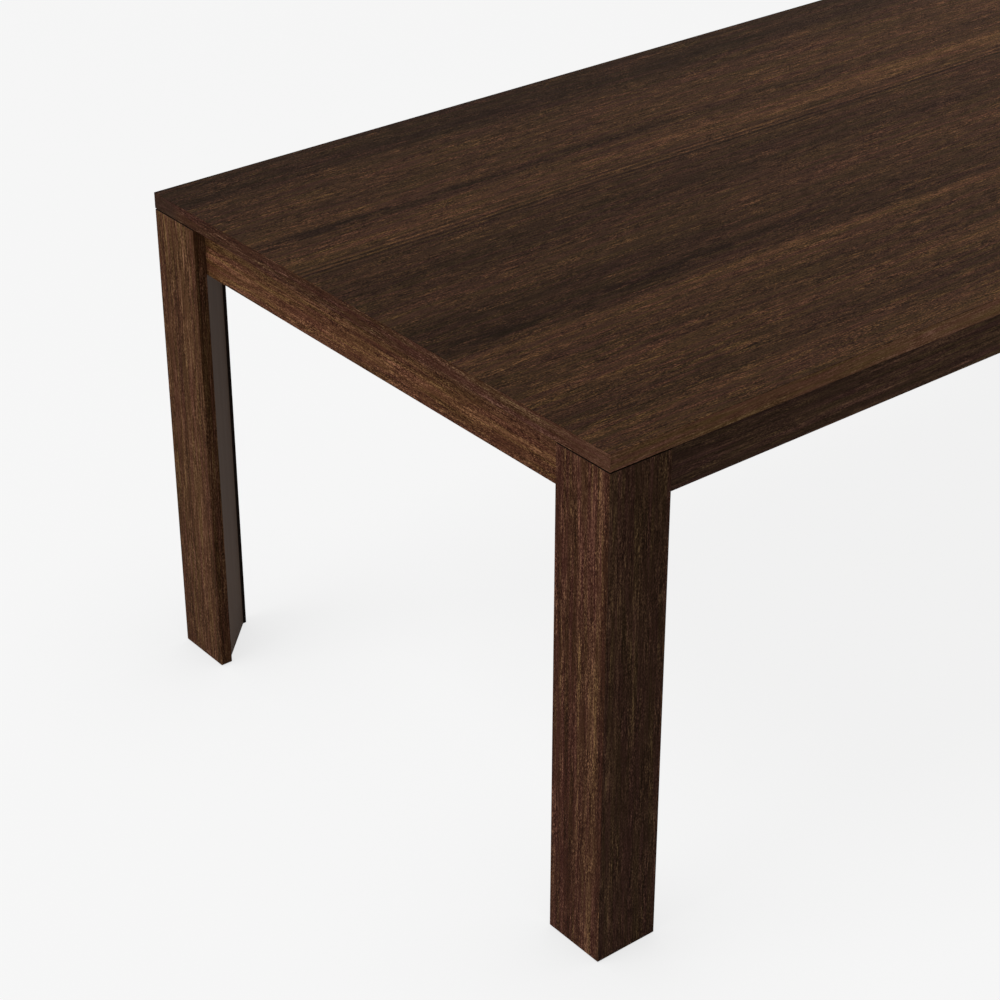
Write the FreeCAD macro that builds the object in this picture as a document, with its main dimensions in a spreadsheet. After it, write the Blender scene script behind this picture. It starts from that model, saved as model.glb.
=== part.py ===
import FreeCAD, Part
import os
import Sketcher

# Dining table with flush L-shaped corner legs, recessed aprons and a lipped, veneered top.
# +Z is up from the floor, +X runs along the length and +Y along the width, and the origin is on the floor
# under the middle of the top. The table is alike about both upright middle planes, so its pieces are
# modelled in the near left quarter, towards -X and -Y, and mirrored to the others. Sizes are in millimetres.

SIZES = {
    # Whole table
    "table_length": 1980,
    "table_width": 992,
    "table_height": 762,
    # Top: a board core with solid lippings, veneered on both faces
    "top_thickness": 25,
    "face_veneer": 0.6,
    "edge_round": 0.4,
    "edge_lipping": 3,
    "lipping_rise": 1,
    # Legs: two mitred boards closed behind by a slanting panel, with glued blocks in the hollow
    "leg_width": 98.5,
    "board_thickness": 19,
    "arris": 0.6,
    "panel_setback": 6,
    "panel_thickness": 9,
    "joint_gap": 0.7,
    "glide_gap": 2,
    "head_block_height": 60,
    "foot_block_height": 40,
    # Apron frame with its corner blocks, dowels and cross rails
    "apron_depth": 74,
    "apron_thickness": 19,
    "corner_block_rise": 10,
    "corner_block_ear": 10,
    "corner_block_gap": 1,
    "dowel_radius": 4,
    "dowel_length": 30,
    "dowel_bite": 12,
    "rail_thickness": 19,
    "rail_depth": 60,
    "rail_spacing": 660,
    # Bolts that hold each leg to the frame, with their washers and threaded inserts
    "bolt_radius": 3,
    "bolt_grip": 11,
    "bolt_head_radius": 6.5,
    "bolt_head_height": 3.5,
    "bolt_socket_radius": 2.3,
    "bolt_socket_depth": 2.2,
    "bolt_hole_clearance": 0.3,
    "bolt_edge": 16.5,
    "bolt_apron_edge": 20,
    "washer_radius": 9,
    "washer_thickness": 1.5,
    "insert_radius": 5,
    "insert_length": 13,
    "insert_end_room": 1,
    # Wood screws and steel angle brackets
    "screw_radius": 2,
    "screw_bite": 14,
    "screw_tip": 4,
    "screw_head_radius": 4,
    "screw_head_height": 2.4,
    "screw_head_bevel": 0.8,
    "corner_screw_web": 8,
    "corner_screw_inset": 10,
    "corner_screw_edge": 12,
    "corner_screw_step": 10,
    "counterbore_clearance": 0.8,
    "bracket_reach": 30,
    "bracket_width": 20,
    "bracket_thickness": 2,
    "bracket_hole": 18,
    "side_bracket_inner": 130,
    "side_bracket_outer": 620,
    "end_bracket_offset": 200,
    # Levelling feet: a threaded stem with a spanner collar, a swivelling pad and a flanged nut
    "foot_travel": 12,
    "foot_play": 0.3,
    "pad_room": 2.8,
    "pad_height": 8,
    "pad_floor": 2.7,
    "pad_bevel": 1.2,
    "stem_radius": 4,
    "stem_spare": 6,
    "stem_bevel": 1,
    "stem_room": 0.8,
    "ball_radius": 6,
    "ball_height": 2.4,
    "collar_across": 13,
    "collar_height": 5,
    "nut_flange_radius": 9,
    "nut_flange_thickness": 1.5,
    "nut_radius": 5.5,
    "nut_length": 16,
    # Play around what turns or is pushed into a bore
    "fit": 0.05,
}

doc = FreeCAD.newDocument("dining_table")
sheet = doc.addObject("Spreadsheet::Sheet", "dims")
for row, (alias, value) in enumerate(SIZES.items(), start=1):
    sheet.set(f"A{row}", alias)
    sheet.set(f"B{row}", str(value))
    sheet.setAlias(f"B{row}", alias)
doc.recompute()

# Places that several pieces share, as expressions on the sheet
END = "(-dims.table_length / 2)"
SIDE = "(-dims.table_width / 2)"
UNDER_TOP = "(dims.table_height - dims.top_thickness)"
APRON_FOOT = f"({UNDER_TOP} - dims.apron_depth)"
FRAME_INSIDE = "(dims.board_thickness + dims.apron_thickness)"
PANEL_FACE = "(dims.leg_width - dims.panel_setback)"
PANEL_BACK = f"({PANEL_FACE} - dims.panel_thickness * sqrt(2))"
HOLLOW_RADIUS = f"(({PANEL_BACK} - dims.board_thickness) * (1 - sqrt(0.5)))"
FOOT_CENTRE = f"(dims.board_thickness + {HOLLOW_RADIUS})"
BOLT_PLACE = "(dims.leg_width - dims.bolt_edge)"

X, Y, Z = (FreeCAD.Vector(*axis) for axis in ((1, 0, 0), (0, 1, 0), (0, 0, 1)))
PLACE = ("Placement.Base.x", "Placement.Base.y", "Placement.Base.z")
CORNERS = {"near_left": (), "near_right": (X,), "far_left": (Y,), "far_right": (X, Y)}

nodes = []


def bind(made, expressions):
    """Ties properties of an object to expressions on the sheet."""
    for name, expression in expressions.items():
        made.setExpression(name, expression)


def turn(across, up):
    """Rotation that carries a piece's own X and Y axes to the two given directions."""
    return FreeCAD.Rotation(across, up, across.cross(up), "XYZ")


def put(made, place, rotation=FreeCAD.Rotation()):
    """Sets a piece at a place given as three expressions."""
    made.Placement = FreeCAD.Placement(FreeCAD.Vector(), rotation)
    bind(made, dict(zip(PLACE, place)))
    return made


def keep(made, name):
    """Gives a piece the name it is known by, and lists it as one of the table's pieces."""
    made.Label = name
    nodes.append(made)
    return made


def draw(body, plane, corners, level="0"):
    """Closed outline on one of a body's own planes, through corners given as two expressions each."""
    origin_plane = next(part for part in body.Origin.OriginFeatures if part.Role == plane)
    sketch = body.newObject("Sketcher::SketchObject", f"{body.Name}_outline")
    sketch.AttachmentSupport = (origin_plane, [""])
    sketch.MapMode = "FlatFace"
    bind(sketch, {"AttachmentOffset.Base.z": level})
    points = [FreeCAD.Vector(*(float(sketch.evalExpression(term)) for term in corner)) for corner in corners]
    following = points[1:] + points[:1]
    for start, finish in zip(points, following):
        sketch.addGeometry(Part.LineSegment(start, finish))
    for line in range(len(points)):
        sketch.addConstraint(Sketcher.Constraint("Coincident", line, 2, (line + 1) % len(points), 1))
    for line, corner in enumerate(corners):
        for kind, axis, term, value in zip(("DistanceX", "DistanceY"), (-2, -1), corner, points[line]):
            if term == "0":
                sketch.addConstraint(Sketcher.Constraint("PointOnObject", line, 1, axis))
                continue
            constraint = sketch.addConstraint(Sketcher.Constraint(kind, -1, 1, line, 1, value))
            sketch.setExpression(f"Constraints[{constraint}]", term)
    return sketch


def pad(body, corners, height, level="0"):
    """Adds an upright prism on an outline to a body."""
    made = body.newObject("PartDesign::Pad", f"{body.Name}_pad")
    made.Profile = draw(body, "XY_Plane", corners, level)
    bind(made, {"Length": height})
    return made


def prism(name, corners, height, place=("0", "0", "0")):
    """Piece cut to one outline all the way up."""
    body = doc.addObject("PartDesign::Body", name)
    pad(body, corners, height)
    return put(body, place)


def turned(name, corners, place=("0", "0", "0")):
    """Round piece about its own upright axis, from an outline of radii and heights."""
    body = doc.addObject("PartDesign::Body", name)
    sketch = draw(body, "XZ_Plane", corners)
    made = body.newObject("PartDesign::Revolution", f"{name}_turning")
    made.Profile = sketch
    made.ReferenceAxis = (sketch, ["V_Axis"])
    made.Angle = 360
    return put(body, place)


def board(name, low, size):
    """Straight sawn board from its lowest corner."""
    made = doc.addObject("Part::Box", name)
    bind(made, dict(zip(("Length", "Width", "Height"), size)))
    return put(made, low)


def cut(name, base, tool):
    """What is left of a piece once a tool has been through it."""
    made = doc.addObject("Part::Cut", name)
    made.Base = base
    made.Tool = tool
    return made


def together(name, pieces):
    """Separate pieces that count as one."""
    made = doc.addObject("Part::Compound", name)
    made.Links = pieces
    return made


def copies(name, source, places):
    """Copies of one piece, each at a place and a rotation."""
    made = []
    for place, rotation in places:
        copy = doc.addObject("App::Link", f"{name}_copy")
        copy.LinkedObject = source
        made.append(put(copy, place, rotation))
    return together(name, made)


def mirrored(source, normals):
    """Image of a piece beyond the upright middle plane across each given axis in turn."""
    for normal in normals:
        image = doc.addObject("Part::Mirroring", f"{source.Name}_image")
        image.Source = source
        image.Normal = normal
        source = image
    return source


def in_each_corner(source, name):
    """Keeps a near left corner piece and its images at the other corners as separate pieces."""
    for corner, normals in CORNERS.items():
        keep(mirrored(source, normals), f"{corner}_{name}")


def in_all_corners(source, name):
    """A near left quarter's pieces with their images in the other quarters, as one group."""
    return together(name, [mirrored(source, normals) for normals in CORNERS.values()])


# Bolts that pull each leg board against the apron behind it, from inside the frame. A bolt's own origin is
# on the apron's inner face, with its head upwards.
bolt_seat = "dims.washer_thickness"
bolt_tip = "(-dims.apron_thickness - dims.bolt_grip)"
bolt_crown = f"({bolt_seat} + dims.bolt_head_height)"
bolt_blank = turned("bolt_blank", [
    ("0", bolt_tip), ("dims.bolt_radius", bolt_tip), ("dims.bolt_radius", bolt_seat),
    ("dims.bolt_head_radius", bolt_seat), ("dims.bolt_head_radius", bolt_crown), ("0", bolt_crown)])
bolt_socket = doc.addObject("Part::Prism", "bolt_socket")
bolt_socket.Polygon = 6
bind(bolt_socket, {"Circumradius": "dims.bolt_socket_radius", "Height": "dims.bolt_socket_depth"})
put(bolt_socket, ("0", "0", f"{bolt_crown} - dims.bolt_socket_depth"))
bolt = cut("bolt", bolt_blank, bolt_socket)

bolt_bore_radius = "(dims.bolt_radius + dims.bolt_hole_clearance)"
washer = turned("washer", [
    (bolt_bore_radius, "0"), ("dims.washer_radius", "0"),
    ("dims.washer_radius", bolt_seat), (bolt_bore_radius, bolt_seat)])

insert_mouth = "-dims.apron_thickness"
insert_end = "(-dims.apron_thickness - dims.insert_length)"
insert_bore = "(dims.bolt_radius + dims.fit)"
insert = turned("insert", [
    (insert_bore, insert_end), ("dims.insert_radius", insert_end),
    ("dims.insert_radius", insert_mouth), (insert_bore, insert_mouth)])

insert_hole = "(dims.insert_radius + dims.fit)"
insert_hole_end = f"({insert_end} - dims.insert_end_room)"
bolt_drill = turned("bolt_drill", [
    ("0", insert_hole_end), (insert_hole, insert_hole_end), (insert_hole, insert_mouth),
    (bolt_bore_radius, insert_mouth), (bolt_bore_radius, "0"), ("0", "0")])

bolt_places = []
for bolt_level in (f"{APRON_FOOT} + dims.bolt_apron_edge", f"{UNDER_TOP} - dims.bolt_apron_edge"):
    through_end = (f"{END} + {FRAME_INSIDE}", f"{SIDE} + {BOLT_PLACE}", bolt_level)
    through_side = (f"{END} + {BOLT_PLACE}", f"{SIDE} + {FRAME_INSIDE}", bolt_level)
    bolt_places += [(through_end, turn(Y, Z)), (through_side, turn(Z, X))]

for fastener, group in ((bolt, "leg_bolts"), (washer, "leg_bolt_washers"), (insert, "leg_bolt_inserts")):
    keep(in_all_corners(copies(f"quarter_{group}", fastener, bolt_places), group), group)
bolt_holes = copies("bolt_holes", bolt_drill, bolt_places)


def screw(name, clamped):
    """Wood screw whose origin is under its head, long enough to bite past what it clamps."""
    end = f"(-{clamped} - dims.screw_bite)"
    shoulder = "(dims.screw_head_height - dims.screw_head_bevel)"
    return turned(name, [
        ("0", end), ("dims.screw_radius", f"{end} + dims.screw_tip"), ("dims.screw_radius", "0"),
        ("dims.screw_head_radius", "0"), ("dims.screw_head_radius", shoulder),
        ("dims.screw_head_radius - dims.screw_head_bevel", "dims.screw_head_height"),
        ("0", "dims.screw_head_height")])


def screw_drill(name, clamped, sunk="0"):
    """Hole for such a screw, with a counterbore where its head is sunk."""
    end = f"(-{clamped} - dims.screw_bite)"
    hole = "(dims.screw_radius + dims.fit)"
    outline = [("0", end), (hole, end), (hole, "0")]
    if sunk != "0":
        counterbore = "(dims.screw_head_radius + dims.counterbore_clearance)"
        outline += [(counterbore, "0"), (counterbore, sunk)]
    return turned(name, outline + [("0", sunk)])


# Corner blocks glued and screwed into the frame's corners, clear of the leg bolts' washers
corner_reach = f"({BOLT_PLACE} - dims.washer_radius - dims.corner_block_gap - {FRAME_INSIDE})"
corner_block_foot = f"({APRON_FOOT} + dims.corner_block_rise)"
corner_block_blank = prism("corner_block_blank", [
    ("0", "0"), (corner_reach, "0"), (corner_reach, "dims.corner_block_ear"),
    ("dims.corner_block_ear", corner_reach), ("0", corner_reach)],
    "dims.apron_depth - dims.corner_block_rise",
    (f"{END} + {FRAME_INSIDE}", f"{SIDE} + {FRAME_INSIDE}", corner_block_foot))

corner_screw = screw("corner_screw", "dims.corner_screw_web")
corner_screw_drill = screw_drill("corner_screw_drill", "dims.corner_screw_web", corner_reach)
corner_screw_seat = f"{FRAME_INSIDE} + dims.corner_screw_web"
corner_screw_place = f"{FRAME_INSIDE} + {corner_reach} - dims.corner_screw_inset"
corner_screw_levels = (
    (f"{corner_block_foot} + dims.corner_screw_edge", "+ dims.corner_screw_step"),
    (f"{UNDER_TOP} - dims.corner_screw_edge", "- dims.corner_screw_step"))
corner_screw_places = []
for level, step in corner_screw_levels:
    into_side = (f"{END} + {corner_screw_place}", f"{SIDE} + {corner_screw_seat}", level)
    into_end = (f"{END} + {corner_screw_seat}", f"{SIDE} + {corner_screw_place}", f"{level} {step}")
    corner_screw_places += [(into_side, turn(Z, X)), (into_end, turn(Y, Z))]
quarter_corner_screws = copies("quarter_corner_screws", corner_screw, corner_screw_places)
keep(in_all_corners(quarter_corner_screws, "corner_block_screws"), "corner_block_screws")
corner_screw_holes = copies("corner_screw_holes", corner_screw_drill, corner_screw_places)

# Dowels between each end apron and the side apron that it butts against, level with the screws into the
# side apron so that they stay clear of those into the end apron
dowel_bevel = "(dims.dowel_radius / 4)"
dowel = turned("dowel", [
    ("0", "0"), (f"dims.dowel_radius - {dowel_bevel}", "0"), ("dims.dowel_radius", dowel_bevel),
    ("dims.dowel_radius", f"dims.dowel_length - {dowel_bevel}"),
    (f"dims.dowel_radius - {dowel_bevel}", "dims.dowel_length"), ("0", "dims.dowel_length")])
dowel_hole = "(dims.dowel_radius + dims.fit)"
dowel_drill = turned("dowel_drill", [
    ("0", "0"), (dowel_hole, "0"), (dowel_hole, "dims.dowel_length"), ("0", "dims.dowel_length")])
dowel_places = []
for level, _ in corner_screw_levels:
    dowel_start = (
        f"{END} + dims.board_thickness + dims.apron_thickness / 2",
        f"{SIDE} + {FRAME_INSIDE} - dims.dowel_bite", level)
    dowel_places.append((dowel_start, turn(Z, X)))
keep(in_all_corners(copies("quarter_dowels", dowel, dowel_places), "frame_dowels"), "frame_dowels")
dowel_holes = copies("dowel_holes", dowel_drill, dowel_places)

# Steel angle brackets: one leg lies on an apron, the other under the top or on a cross rail. A bracket's
# own X runs away from the apron and its own Y away from the top or the rail.
bracket_blank = prism("bracket_blank", [
    ("0", "0"), ("dims.bracket_reach", "0"), ("dims.bracket_reach", "dims.bracket_thickness"),
    ("dims.bracket_thickness", "dims.bracket_thickness"), ("dims.bracket_thickness", "dims.bracket_reach"),
    ("0", "dims.bracket_reach")], "dims.bracket_width")
bracket_screw = screw("bracket_screw", "dims.bracket_thickness")
bracket_screw_drill = screw_drill("bracket_screw_drill", "dims.bracket_thickness")
bracket_screw_places = [
    (("dims.bracket_thickness", "dims.bracket_hole", "dims.bracket_width / 2"), turn(Y, Z)),
    (("dims.bracket_hole", "dims.bracket_thickness", "dims.bracket_width / 2"), turn(Z, X))]
bracket_screws = copies("bracket_screws", bracket_screw, bracket_screw_places)
bracket_drills = copies("bracket_drills", bracket_screw_drill, bracket_screw_places)
bracket = cut("bracket", bracket_blank, bracket_drills)

top_bracket_places = [
    ((f"-{spot} + dims.bracket_width / 2", f"{SIDE} + {FRAME_INSIDE}", UNDER_TOP), turn(Y, -Z))
    for spot in ("dims.side_bracket_inner", "dims.side_bracket_outer")]
end_bracket_y = "-dims.end_bracket_offset - dims.bracket_width / 2"
top_bracket_places.append(((f"{END} + {FRAME_INSIDE}", end_bracket_y, UNDER_TOP), turn(X, -Z)))
rail_face = "(-dims.rail_spacing / 2 + dims.rail_thickness / 2)"
rail_bracket_top = f"{UNDER_TOP} - dims.rail_depth / 2 + dims.bracket_width / 2"
rail_bracket_places = [((rail_face, f"{SIDE} + {FRAME_INSIDE}", rail_bracket_top), turn(Y, X))]

bracket_holes = []
for use, places in (("top", top_bracket_places), ("rail", rail_bracket_places)):
    brackets = copies(f"quarter_{use}_brackets", bracket, places)
    screws = copies(f"quarter_{use}_bracket_screws", bracket_screws, places)
    keep(in_all_corners(brackets, f"{use}_brackets"), f"{use}_brackets")
    keep(in_all_corners(screws, f"{use}_bracket_screws"), f"{use}_bracket_screws")
    bracket_holes.append(copies(f"{use}_bracket_holes", bracket_drills, places))

# Every drilled hole of the near left quarter, then of the halves and of the whole table
quarter_holes = together("quarter_holes", [bolt_holes, corner_screw_holes, dowel_holes, *bracket_holes])
near_holes = together("near_holes", [quarter_holes, mirrored(quarter_holes, (X,))])
left_holes = together("left_holes", [quarter_holes, mirrored(quarter_holes, (Y,))])
all_holes = in_all_corners(quarter_holes, "all_holes")

in_each_corner(cut("corner_block", corner_block_blank, quarter_holes), "corner_block")

# Aprons: the side aprons run the whole length inside the leg boards, and the end aprons butt between them
side_apron_blank = board(
    "side_apron_blank", (f"{END} + dims.board_thickness", f"{SIDE} + dims.board_thickness", APRON_FOOT),
    ("dims.table_length - 2 * dims.board_thickness", "dims.apron_thickness", "dims.apron_depth"))
side_apron = keep(cut("side_apron", side_apron_blank, near_holes), "near_side_apron")
keep(mirrored(side_apron, (Y,)), "far_side_apron")
end_apron_blank = board(
    "end_apron_blank", (f"{END} + dims.board_thickness", f"{SIDE} + {FRAME_INSIDE}", APRON_FOOT),
    ("dims.apron_thickness", f"dims.table_width - 2 * {FRAME_INSIDE}", "dims.apron_depth"))
end_apron = keep(cut("end_apron", end_apron_blank, left_holes), "left_end_apron")
keep(mirrored(end_apron, (X,)), "right_end_apron")

# Cross rails that stiffen the frame and carry the middle of the top
rail_foot = f"{UNDER_TOP} - dims.rail_depth"
rail_blank = board(
    "rail_blank", (f"{rail_face} - dims.rail_thickness", f"{SIDE} + {FRAME_INSIDE}", rail_foot),
    ("dims.rail_thickness", f"dims.table_width - 2 * {FRAME_INSIDE}", "dims.rail_depth"))
rail = keep(cut("rail", rail_blank, left_holes), "left_cross_rail")
keep(mirrored(rail, (X,)), "right_cross_rail")

# Legs: two boards mitred along the outer corner, with their sharp edges eased. Outlines are measured from the
# table's outer corner, along its length and its width.
leg_foot = (END, SIDE, "dims.glide_gap")
board_height = f"{UNDER_TOP} - dims.joint_gap - dims.glide_gap"
end_board_outline = [
    ("0", "dims.arris"), ("dims.arris / 2", "dims.arris / 2"),
    ("dims.board_thickness", "dims.board_thickness"), ("dims.board_thickness", "dims.leg_width - dims.arris"),
    ("dims.board_thickness - dims.arris", "dims.leg_width"), ("dims.arris", "dims.leg_width"),
    ("0", "dims.leg_width - dims.arris")]
side_board_outline = [(along, across) for across, along in end_board_outline]
for face, outline in (("end", end_board_outline), ("side", side_board_outline)):
    blank = prism(f"leg_{face}_board_blank", outline, board_height, leg_foot)
    in_each_corner(cut(f"leg_{face}_board", blank, quarter_holes), f"leg_{face}_board")

# Slanting panel that closes the back of each leg, from the floor to the aprons
back_panel = prism("back_panel", [
    ("dims.board_thickness", PANEL_FACE), ("dims.board_thickness", PANEL_BACK),
    (PANEL_BACK, "dims.board_thickness"), (PANEL_FACE, "dims.board_thickness")],
    f"{APRON_FOOT} - dims.glide_gap", leg_foot)
in_each_corner(back_panel, "leg_back_panel")

# Blocks glued into each leg's hollow: one under the aprons, and one low down for the levelling foot
hollow_outline = [
    ("dims.board_thickness", "dims.board_thickness"), (PANEL_BACK, "dims.board_thickness"),
    ("dims.board_thickness", PANEL_BACK)]
head_block = prism("head_block", hollow_outline, "dims.head_block_height",
                   (END, SIDE, f"{APRON_FOOT} - dims.head_block_height"))
in_each_corner(head_block, "leg_head_block")

# Levelling feet, drawn from the floor up on their own axis in the middle of the hollow, screwed right in
foot_place = (f"{END} + {FOOT_CENTRE}", f"{SIDE} + {FOOT_CENTRE}", "0")
pad_radius = f"({HOLLOW_RADIUS} - dims.pad_room)"
pad_socket = "(dims.ball_radius + dims.fit)"
pad_throat = "(dims.stem_radius + dims.fit)"
ball_foot = "(dims.pad_floor + dims.foot_play)"
ball_top = f"({ball_foot} + dims.ball_height)"
pad_lip = f"({ball_top} + dims.foot_play)"
foot_pad = turned("foot_pad", [
    ("0", "0"), (f"{pad_radius} - dims.pad_bevel", "0"), (pad_radius, "dims.pad_bevel"),
    (pad_radius, "dims.pad_height - dims.pad_bevel"), (f"{pad_radius} - dims.pad_bevel", "dims.pad_height"),
    (pad_throat, "dims.pad_height"), (pad_throat, pad_lip), (pad_socket, pad_lip),
    (pad_socket, "dims.pad_floor"), ("0", "dims.pad_floor")], foot_place)
in_each_corner(foot_pad, "foot_pad")

collar_foot = "(dims.pad_height + dims.foot_play)"
nut_foot = f"({collar_foot} + dims.collar_height + dims.foot_play)"
foot_block_foot = f"({nut_foot} + dims.nut_flange_thickness)"
nut_end = f"({foot_block_foot} + dims.nut_length)"
stem_end = f"({nut_end} + dims.foot_travel + dims.stem_spare)"
foot_stem = turned("foot_stem", [
    ("0", ball_foot), ("dims.ball_radius", ball_foot), ("dims.ball_radius", ball_top),
    ("dims.stem_radius", ball_top), ("dims.stem_radius", f"{stem_end} - dims.stem_bevel"),
    ("dims.stem_radius - dims.stem_bevel", stem_end), ("0", stem_end)], foot_place)
collar_point = "(dims.collar_across / sqrt(3))"
half_flat = "dims.collar_across / 2"
pad(foot_stem, [
    (collar_point, "0"), (f"{collar_point} / 2", half_flat), (f"-{collar_point} / 2", half_flat),
    (f"-{collar_point}", "0"), (f"-{collar_point} / 2", f"-{half_flat}"),
    (f"{collar_point} / 2", f"-{half_flat}")], "dims.collar_height", collar_foot)
in_each_corner(foot_stem, "foot_stem")

nut_bore = "(dims.stem_radius + dims.fit)"
foot_nut = turned("foot_nut", [
    (nut_bore, nut_foot), ("dims.nut_flange_radius", nut_foot), ("dims.nut_flange_radius", foot_block_foot),
    ("dims.nut_radius", foot_block_foot), ("dims.nut_radius", nut_end), (nut_bore, nut_end)], foot_place)
keep(in_all_corners(foot_nut, "foot_nuts"), "foot_nuts")

foot_block_blank = prism("foot_block_blank", hollow_outline, "dims.foot_block_height",
                         (END, SIDE, foot_block_foot))
nut_hole = "(dims.nut_radius + dims.fit)"
stem_hole = "(dims.stem_radius + dims.stem_room)"
foot_block_head = f"({foot_block_foot} + dims.foot_block_height)"
foot_drill = turned("foot_drill", [
    ("0", foot_block_foot), (nut_hole, foot_block_foot), (nut_hole, nut_end), (stem_hole, nut_end),
    (stem_hole, foot_block_head), ("0", foot_block_head)], foot_place)
in_each_corner(cut("foot_block", foot_block_blank, foot_drill), "leg_foot_block")

# Top: board core, lippings mitred round it, a backing veneer under the core, and a face veneer that runs out
# over the lippings. The lippings stop short of the underside, which leaves a dark line over the legs.
core_corner = (f"{END} + dims.edge_lipping", f"{SIDE} + dims.edge_lipping")
core_length = "dims.table_length - 2 * dims.edge_lipping"
core_width = "dims.table_width - 2 * dims.edge_lipping"
core_blank = board("core_blank", (*core_corner, f"{UNDER_TOP} + dims.face_veneer"),
                   (core_length, core_width, "dims.top_thickness - 2 * dims.face_veneer"))
keep(cut("core", core_blank, all_holes), "top_core")
backing_blank = board("backing_blank", (*core_corner, UNDER_TOP),
                      (core_length, core_width, "dims.face_veneer"))
keep(cut("backing", backing_blank, all_holes), "top_backing_veneer")

lipping_foot = f"{UNDER_TOP} + dims.lipping_rise"
lipping_height = "dims.top_thickness - dims.lipping_rise - dims.face_veneer"

side_lipping = prism("side_lipping", [
    ("0", "0"), ("dims.table_length", "0"), ("dims.table_length - dims.edge_lipping", "dims.edge_lipping"),
    ("dims.edge_lipping", "dims.edge_lipping")], lipping_height, (END, SIDE, lipping_foot))
keep(side_lipping, "top_near_side_lipping")
keep(mirrored(side_lipping, (Y,)), "top_far_side_lipping")
end_lipping = prism("end_lipping", [
    ("0", "0"), ("dims.edge_lipping", "dims.edge_lipping"),
    ("dims.edge_lipping", "dims.table_width - dims.edge_lipping"), ("0", "dims.table_width")],
    lipping_height, (END, SIDE, lipping_foot))
keep(end_lipping, "top_left_end_lipping")
keep(mirrored(end_lipping, (X,)), "top_right_end_lipping")

face_veneer = prism("face_veneer", [
    ("0", "0"), ("dims.table_length", "0"), ("dims.table_length", "dims.table_width"),
    ("0", "dims.table_width")], "dims.face_veneer", (END, SIDE, "dims.table_height - dims.face_veneer"))
doc.recompute()
sheet_of_veneer = face_veneer.Tip
upper = sheet_of_veneer.Shape.BoundBox.ZMax
rim = [f"Edge{number}" for number, edge in enumerate(sheet_of_veneer.Shape.Edges, start=1)
       if edge.BoundBox.ZMin > upper - edge.Tolerance]
rounding = face_veneer.newObject("PartDesign::Fillet", "face_veneer_rounding")
rounding.Base = (sheet_of_veneer, rim)
bind(rounding, {"Radius": "dims.edge_round"})
keep(face_veneer, "top_face_veneer")

doc.recompute()
for made in doc.Objects:
    if {"Invalid", "Error"} & set(made.State):
        raise RuntimeError(f"{made.Label} could not be made: {made.State}")
for node in nodes:
    if node.Shape.isNull() or not node.Shape.isValid() or not node.Shape.Solids:
        raise RuntimeError(f"{node.Label} has no valid shape")

os.makedirs("parts", exist_ok=True)
for node in nodes:
    node.Shape.exportStep(f"parts/{node.Label}.step")
print(len(nodes), "pieces,", sum(len(node.Shape.Solids) for node in nodes), "solids")
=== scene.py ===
import bpy
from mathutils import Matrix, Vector


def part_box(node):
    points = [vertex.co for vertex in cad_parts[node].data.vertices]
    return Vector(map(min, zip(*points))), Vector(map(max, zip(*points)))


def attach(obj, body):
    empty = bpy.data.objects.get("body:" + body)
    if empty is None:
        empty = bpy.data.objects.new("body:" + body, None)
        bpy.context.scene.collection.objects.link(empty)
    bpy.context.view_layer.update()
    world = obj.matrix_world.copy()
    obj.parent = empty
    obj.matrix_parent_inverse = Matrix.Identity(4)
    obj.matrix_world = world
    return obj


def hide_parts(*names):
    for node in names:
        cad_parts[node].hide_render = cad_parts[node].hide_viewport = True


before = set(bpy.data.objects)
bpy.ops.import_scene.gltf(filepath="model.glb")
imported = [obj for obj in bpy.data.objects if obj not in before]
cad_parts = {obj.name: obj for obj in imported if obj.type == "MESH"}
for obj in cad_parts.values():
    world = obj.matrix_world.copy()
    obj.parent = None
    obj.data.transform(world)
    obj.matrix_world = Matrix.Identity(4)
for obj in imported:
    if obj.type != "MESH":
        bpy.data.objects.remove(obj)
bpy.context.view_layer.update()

# Aprons: four walnut boards on edge, set back behind the leg boards, planed and stained dark.
# The side aprons run the whole length and the end aprons butt between them. The grain runs along each
# board, and the end aprons have a paler streak along the middle. Just under the top the end aprons carry
# painted light and the side aprons painted shade, about the top's overhang.


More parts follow.
